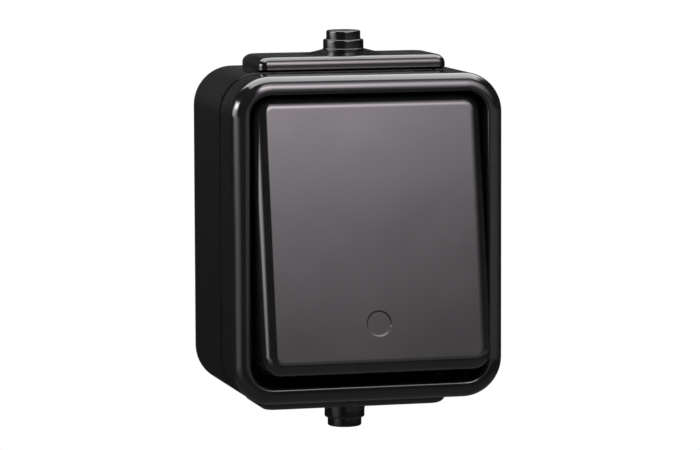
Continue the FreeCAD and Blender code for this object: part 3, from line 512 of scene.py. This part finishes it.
def set_back(height):
    """How far the front stands back: above the lip it leans back, steepest at its foot; below the lip it is
    undercut."""
    lean = np.clip((height - lip) / LEAN_HEIGHT, 0, 1)
    under = np.clip((lip - height) / UNDERCUT_HEIGHT, 0, 1)
    return LEAN_BACK * (2 * lean - lean ** 2) + UNDERCUT_DEPTH * under


def level_rings(half_width, front, rear, corner, height):
    """Rings in the plane of the wall's top: rounded rectangles from front to rear at those heights."""
    half_width, front, rear, corner, height = np.broadcast_arrays(half_width, front, rear, corner, height)
    x, y = rounded_rings(half_width, (front - rear) / 2, corner)
    y = y - (front + rear)[:, None] / 2
    return np.stack([x, y, np.broadcast_to(height[:, None], x.shape)], axis=-1)


def plate_rings():
    """The plate from its flat top down: heights close together on the roundings, then the leaning front, the
    undercut's lip and the wall."""
    rounded = 1 - arc(ROUNDING_STEPS)[0]
    front = np.linspace(lip, plate_top - ENTRY_END, LEAN_STEPS)
    heights = np.concatenate([
        plate_top - ENTRY_END * rounded, plate_top - ENTRY_EDGE * rounded, front, [WALL_TOP]])
    heights = np.unique(np.round(heights, 4))[::-1]
    edge = drawn_in(heights, ENTRY_EDGE)
    sides = level_rings(
        ENTRY_HALF_WIDTH - drawn_in(heights, ENTRY_END), ENTRY_FRONT - edge - set_back(heights),
        ENTRY_REAR + edge, ENTRY_EDGE, heights)
    flat = level_rings(
        np.array([ENTRY_HALF_WIDTH - ENTRY_END - FLAT_STRIP]),
        ENTRY_FRONT - ENTRY_EDGE - LEAN_BACK - FLAT_STRIP,
        ENTRY_REAR + ENTRY_EDGE + FLAT_STRIP, ENTRY_EDGE, plate_top)
    return np.concatenate([flat, sides])


print("the plate has", len(plate_rings()), "rings")

# %% Nipple and saddle
STEP_STEPS = 8
SADDLE_SHARES = np.array([0.0, 0.05, 0.95, 1.0])


def round_rings(radius, height):
    """Circles about the nipple's axis."""
    radius, height = np.broadcast_arrays(np.asarray(radius, dtype=float), np.asarray(height, dtype=float))
    return level_rings(radius, nipple_depth + radius, nipple_depth - radius, radius, height)


def saddle_rings():
    """The saddle round the nipple's foot: straight lines that run from a circle, high at the sides and low
    at the front and rear, down to a wide oval on the plate."""
    circle = round_rings([FOOT_RADIUS], [plate_top])
    circle[..., 2] += SADDLE_CROWN * (1 - np.abs(circle[..., 1] + nipple_depth) / SADDLE_HALF_DEPTH)
    oval = level_rings(
        np.array([SADDLE_HALF_WIDTH]), nipple_depth + SADDLE_HALF_DEPTH, nipple_depth - SADDLE_HALF_DEPTH,
        SADDLE_HALF_DEPTH, plate_top)
    return circle + (oval - circle) * SADDLE_SHARES[:, None, None]


def nipple_rings():
    """Tip, rounded steps and a narrow ledge above the saddle, from the top down."""
    sine, cosine = arc(STEP_STEPS)
    ledge = plate_top + SADDLE_HEIGHT
    step = ledge + LOW_HEIGHT
    inset = STEP_EDGE * (1 - cosine[::-1])
    drop = STEP_EDGE * (1 - sine[::-1])
    return np.concatenate([
        round_rings([HIGH_RADIUS - STEP_EDGE - FLAT_STRIP], [tip]),
        round_rings(HIGH_RADIUS - inset, tip - drop),
        round_rings([HIGH_RADIUS, HIGH_RADIUS + FLAT_STRIP], [step, step]),
        round_rings(LOW_RADIUS - inset, step - drop),
        round_rings([LOW_RADIUS, FOOT_RADIUS], [ledge, ledge - (FOOT_RADIUS - LOW_RADIUS)]),
        saddle_rings(),
    ])


print("nipple and saddle have", len(nipple_rings()), "rings")

# %% Inside of the entry, and both plugs
BOX_WALL = 2.4
NECK_INSET = 3.1
NECK_FRONT_INSET = 0.4
FLANGE = 1.5
FLANGE_INSET = 1.0
FLANGE_FRONT_INSET = 2.3
INNER_CORNER = 0.5
BORE_RADIUS = 3.1
TIP_SKIN = 1.0


def inner_rings():
    """Below the plate: its underside, the neck in the wall's slot, the inner flange and the closed bore."""
    inner_top = WALL_TOP - BOX_WALL
    low = inner_top - FLANGE
    inset = np.repeat([NECK_INSET, FLANGE_INSET], 2)
    front_inset = np.repeat([NECK_FRONT_INSET, FLANGE_FRONT_INSET], 2)
    boxes = level_rings(
        ENTRY_HALF_WIDTH - inset, ENTRY_FRONT - front_inset, ENTRY_REAR + inset, INNER_CORNER,
        np.array([WALL_TOP, inner_top, inner_top, low]))
    return np.concatenate([boxes, round_rings([BORE_RADIUS, BORE_RADIUS], [low, tip - TIP_SKIN])])


entry_rings = np.concatenate([nipple_rings(), plate_rings(), inner_rings()])
half_turn = np.array([-1, 1, -1])
for name, node, turn in [
    ("upper_entry_plug", "upper_cable_entry", np.ones(3)),
    ("lower_entry_plug", "lower_cable_entry", half_turn),
]:
    plug = make_piece(name, [entry_rings * turn], node, "housing")
    print(plug.name, len(plug.data.polygons), "faces")

# %% [markdown]
# ## Box and cover
# The CAD shapes of the box and the cover are the right ones, with bosses, slots and screw seats inside.
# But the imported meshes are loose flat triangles, and a gloss shows every one of them. A copy with its
# corners joined is shaded smooth, and weighting each normal by the size of the faces around it keeps
# the large faces flat and the roundings even.

# %% Smooth shells


def smooth_shell(name, node, body):
    """A joined copy of a CAD node, smooth over its roundings, with normals that follow the larger faces."""
    shell = finish_piece(name, frame["nodes"][node].data.copy(), node, body)
    weighted = shell.modifiers.new("follow_large_faces", "WEIGHTED_NORMAL")
    weighted.keep_sharp = True
    return shell


for name, node in [("box_shell", "back_box"), ("cover_shell", "cover_frame")]:
    shell = smooth_shell(name, node, "housing")
    print(shell.name, len(shell.data.polygons), "faces")

# %% [markdown]
# ## The studio's reflections
# A gloss shows its surroundings, so a black switch is lit with its reflections. This dome is what the
# gloss sees: a softbox in front on the right that fades towards the floor, a long one overhead, one at
# the left, and black cloth between them. Area lamps could stand there instead, but they are evenly
# bright, and these panels fade along their length. So each direction's light is a formula of azimuth
# and elevation, stored on the dome's points. Only glossy rays see the dome: the lamps further down
# light the rest.

# %% Softboxes
# Angles are in degrees, azimuth from the front to the right and elevation upwards. A list of angles goes
# with a list of values; four numbers are a panel's two edges and how soft each of them is.
FRONT_TINT = np.array([1.07, 0.97, 1.04])
FRONT_EDGE = [1, 5]
FRONT_SLANT_UP = [16, 36]
FRONT_SLANT = [0, 10]
FRONT_ACROSS = [15, 16.5, 20, 30, 45, 60]
FRONT_SHARE = [1, 0.78, 0.62, 0.45, 0.2, 0]
FRONT_UP = [-2, 2, 7, 9, 11, 12, 13, 14, 15, 22, 27, 31, 38, 47, 56, 66]
FRONT_LIGHT = [0, 0.4, 0.5, 0.8, 1.8, 1.95, 2.25, 4.0, 5.3, 7, 11, 15, 11, 5, 2.4, 0]
OVERHEAD_ASIDE = (-23, 32, 8, 14)
OVERHEAD_UP = [70, 77, 95, 114, 130, 138, 144, 152]
OVERHEAD_LIGHT = [0, 6.8, 6.8, 6.0, 5.0, 4.0, 0.4, 0]
LEFT_ACROSS = (-101, -91, 26, 30)
LEFT_LEAN_UP = [-6, 1]
LEFT_LEAN = [28, 0]
LEFT_UP = [-34, -14, -6, -4, 1, 13, 24, 29]
LEFT_LIGHT = [0, 0.6, 1.2, 1.9, 4.0, 8.0, 8.0, 0]
CORE_ACROSS = (-96, -76, 8, 8)
CORE_UP = (17, 24, 4, 5)
CORE_LIGHT = 14.0
FILL_ACROSS = (-2, 40, 4, 70)
FILL_UP = (-8, -2, 5, 5)
FILL_LIGHT = 0.5
BEHIND_ACROSS = (145, 180, 10, 10)
BEHIND_UP = [-8, -4, 6, 14, 20]
BEHIND_LIGHT = [0, 0.01, 0.05, 0.05, 0]
BELOW_UP = (-90, -35, 1, 15)
BELOW_LIGHT = 0.1
CLOTH_LIGHT = 0.012
print("brightest panel:", max(FRONT_LIGHT), "times white")

# %% Light of each direction


def between(value, low, high, soft_low, soft_high):
    """1 from low to high, easing to 0 over soft_low below and soft_high above."""
    rise = np.clip((value - low + soft_low) / soft_low, 0, 1)
    fall = np.clip((high + soft_high - value) / soft_high, 0, 1)
    return rise * rise * (3 - 2 * rise) * fall * fall * (3 - 2 * fall)


def front_light(azimuth, elevation):
    """The panel in front: its left edge moves further left with height, and its right side fades."""
    slant = np.interp(elevation, FRONT_SLANT_UP, FRONT_SLANT)
    edge = np.interp(azimuth + slant, FRONT_EDGE, [0, 1])
    across = np.interp(azimuth, FRONT_ACROSS, FRONT_SHARE)
    return edge * across * np.interp(elevation, FRONT_UP, FRONT_LIGHT)


def overhead_light(azimuth, elevation):
    """The long panel overhead: it follows the angle of the arch that runs from front to rear over the switch,
    and ends at an angle to each side of that arch."""
    level = np.cos(np.radians(elevation))
    arch = np.degrees(np.arctan2(np.sin(np.radians(elevation)), level * np.cos(np.radians(azimuth))))
    aside = np.degrees(np.arcsin(level * np.sin(np.radians(azimuth))))
    return between(aside, *OVERHEAD_ASIDE) * np.interp(arch, OVERHEAD_UP, OVERHEAD_LIGHT)


def left_light(azimuth, elevation):
    """The panel at the left, which leans towards the front near the floor, and its bright core."""
    lean = np.interp(elevation, LEFT_LEAN_UP, LEFT_LEAN)
    panel = between(azimuth - lean, *LEFT_ACROSS) * np.interp(elevation, LEFT_UP, LEFT_LIGHT)
    return panel + between(azimuth, *CORE_ACROSS) * between(elevation, *CORE_UP) * CORE_LIGHT


def weak_light(azimuth, elevation):
    """What the room gives back: a low fill in front, a pale strip behind, the floor and the black cloth."""
    fill = between(azimuth, *FILL_ACROSS) * between(elevation, *FILL_UP) * FILL_LIGHT
    behind = between(np.abs(azimuth), *BEHIND_ACROSS) * np.interp(elevation, BEHIND_UP, BEHIND_LIGHT)
    return fill + behind + between(elevation, *BELOW_UP) * BELOW_LIGHT + CLOTH_LIGHT


def studio_light(azimuth, elevation):
    """RGB light of directions: the tinted front panel and the plain light of all the others."""
    front = front_light(azimuth, elevation)
    plain = overhead_light(azimuth, elevation) + left_light(azimuth, elevation)
    plain = plain + weak_light(azimuth, elevation)
    return front[..., None] * FRONT_TINT + plain[..., None]


sample = studio_light(np.array([15.0]), np.array([15.2]))[0]
print("light that the rocker's upper half mirrors:", [round(float(value), 2) for value in sample])

# %% Reflection dome
DOME_RADIUS = 1.4
DOME_STEP = 1.0


def dome_mesh():
    """A sphere walked by azimuth and elevation, each point with the light that comes from there."""
    azimuth, elevation = np.meshgrid(
        np.arange(-180, 180, DOME_STEP), np.arange(-90 + DOME_STEP, 90, DOME_STEP))
    around = np.radians(azimuth)
    rise = np.radians(elevation)
    points = DOME_RADIUS * np.stack([
        np.cos(rise) * np.sin(around), -np.cos(rise) * np.cos(around), np.sin(rise)], axis=-1)
    mesh = bpy.data.meshes.new("reflection_dome")
    places, faces = skin(points)
    mesh.from_pydata(places, [], faces)
    colour = mesh.attributes.new("studio_light", "FLOAT_COLOR", "POINT")
    light = studio_light(azimuth, elevation).reshape(-1, 3)
    colour.data.foreach_set("color", np.column_stack([light, np.ones(len(light))]).ravel())
    return mesh


glow = bpy.data.materials.new("studio_glow")
glow.use_nodes = True
tree = glow.node_tree
tree.nodes.clear()
stored = add_node(tree, "ShaderNodeAttribute", {"attribute_name": "studio_light"}, {})
emitter = add_node(tree, "ShaderNodeEmission", {}, {"Color": stored.outputs["Color"], "Strength": 1.0})
add_node(tree, "ShaderNodeOutputMaterial", {}, {"Surface": emitter.outputs["Emission"]})
glow.cycles.emission_sampling = "NONE"
dome = bpy.data.objects.new("reflection_dome", dome_mesh())
dome.data.materials.append(glow)
bpy.context.scene.collection.objects.link(dome)
for kind in ("camera", "diffuse", "transmission", "shadow"):
    setattr(dome, f"visible_{kind}", False)
print(dome.name, len(dome.data.polygons), "faces")

# %% [markdown]
# ## Floor, lamps and background
# The switch hangs in front of white, well above a pale floor that keeps its shadow. The floor is a disc
# that turns to plain white towards its edge, so that it has no visible end. Two broad lamps and the
# white room give light at a level at which a colour shows as it is written.

# %% Pale floor
FLOOR_LEVEL = -0.15
FLOOR_RADIUS = 0.6
FLOOR_MIDDLE = 0.02
FLOOR_RINGS = 24
FLOOR_TURN = 3


def floor_mesh():
    """A disc of rings about the switch's foot, as radius and turn, with its middle closed."""
    radius, turn = np.meshgrid(
        np.linspace(FLOOR_MIDDLE, FLOOR_RADIUS, FLOOR_RINGS), np.radians(np.arange(0, 360, FLOOR_TURN)),
        indexing="ij")
    points = np.stack([
        radius * np.cos(turn), radius * np.sin(turn), np.full_like(radius, FLOOR_LEVEL)], axis=-1)
    places, faces = skin(points)
    mesh = bpy.data.meshes.new("floor")
    mesh.from_pydata(places, [], faces[:-1])
    return mesh


floor = bpy.data.objects.new("floor", floor_mesh())
bpy.context.scene.collection.objects.link(floor)
floor.visible_glossy = False
print("floor at", FLOOR_LEVEL, "m")

# %% Floor finish
FADE_START = 0.12
FADE_END = 0.45
pale, tree, shader, coordinates = start_material("pale_floor")
shader.inputs["Base Color"].default_value = linear("#f0f0ee")
shader.inputs["Roughness"].default_value = 0.9
shader.inputs["Specular IOR Level"].default_value = 0.0
ray = add_node(tree, "ShaderNodeLightPath", {}, {})
flat = add_node(tree, "ShaderNodeVectorMath", {"operation": "MULTIPLY"}, {0: coordinates, 1: (1, 1, 0)})
away = add_node(tree, "ShaderNodeVectorMath", {"operation": "LENGTH"}, {0: flat.outputs["Vector"]})
fade = add_node(tree, "ShaderNodeMapRange", {"interpolation_type": "SMOOTHSTEP"}, {
    "Value": away.outputs["Value"], "From Min": FADE_START, "From Max": FADE_END})
seen = add_node(tree, "ShaderNodeMath", {"operation": "MULTIPLY"}, {
    0: fade.outputs["Result"], 1: ray.outputs["Is Camera Ray"]})
white = add_node(tree, "ShaderNodeEmission", {}, {"Color": (1, 1, 1, 1), "Strength": 1.0})
mixed = add_node(tree, "ShaderNodeMixShader", {}, {
    0: seen.outputs["Value"], 1: shader.outputs["BSDF"], 2: white.outputs["Emission"]})
tree.links.new(mixed.outputs["Shader"], tree.nodes["Material Output"].inputs["Surface"])
floor.data.materials.append(pale)
print(pale.name, "is white from", FADE_END, "m")

# %% Lamps
LAMP_SIZE = 0.9
LAMPS = [("front_lamp", (-0.5, -0.9, 1.1), 14.0), ("rear_lamp", (0.9, 0.7, 0.6), 12.0)]


def broad_lamp(name, place, energy):
    """A soft square lamp that looks at the switch; gloss sees the dome instead of it."""
    lamp = bpy.data.objects.new(name, bpy.data.lights.new(name, "AREA"))
    lamp.data.size = LAMP_SIZE
    lamp.data.energy = energy
    lamp.location = place
    lamp.rotation_euler = Vector(place).to_track_quat("Z", "Y").to_euler()
    lamp.visible_glossy = False
    bpy.context.scene.collection.objects.link(lamp)
    return lamp


for name, place, energy in LAMPS:
    print(broad_lamp(name, place, energy).name, energy, "W")

# %% White room
ROOM_LIGHT = 0.65
ROOM_SEEN = 1.0
world = bpy.data.worlds.new("white_room")
bpy.context.scene.world = world
world.use_nodes = True
tree = world.node_tree
room = tree.nodes["Background"]
room.inputs["Color"].default_value = (1, 1, 1, 1)
ray = add_node(tree, "ShaderNodeLightPath", {}, {})
seen = add_node(tree, "ShaderNodeMath", {"operation": "MAXIMUM"}, {
    0: ray.outputs["Is Camera Ray"], 1: ray.outputs["Is Glossy Ray"]})
seen = add_node(tree, "ShaderNodeMath", {"operation": "MAXIMUM"}, {
    0: seen.outputs["Value"], 1: ray.outputs["Is Transmission Ray"]})
strength = add_node(tree, "ShaderNodeMapRange", {}, {
    "Value": seen.outputs["Value"], "To Min": ROOM_LIGHT, "To Max": ROOM_SEEN})
tree.links.new(strength.outputs["Result"], room.inputs["Strength"])
print("room light", ROOM_LIGHT, "and", ROOM_SEEN, "where it is seen")
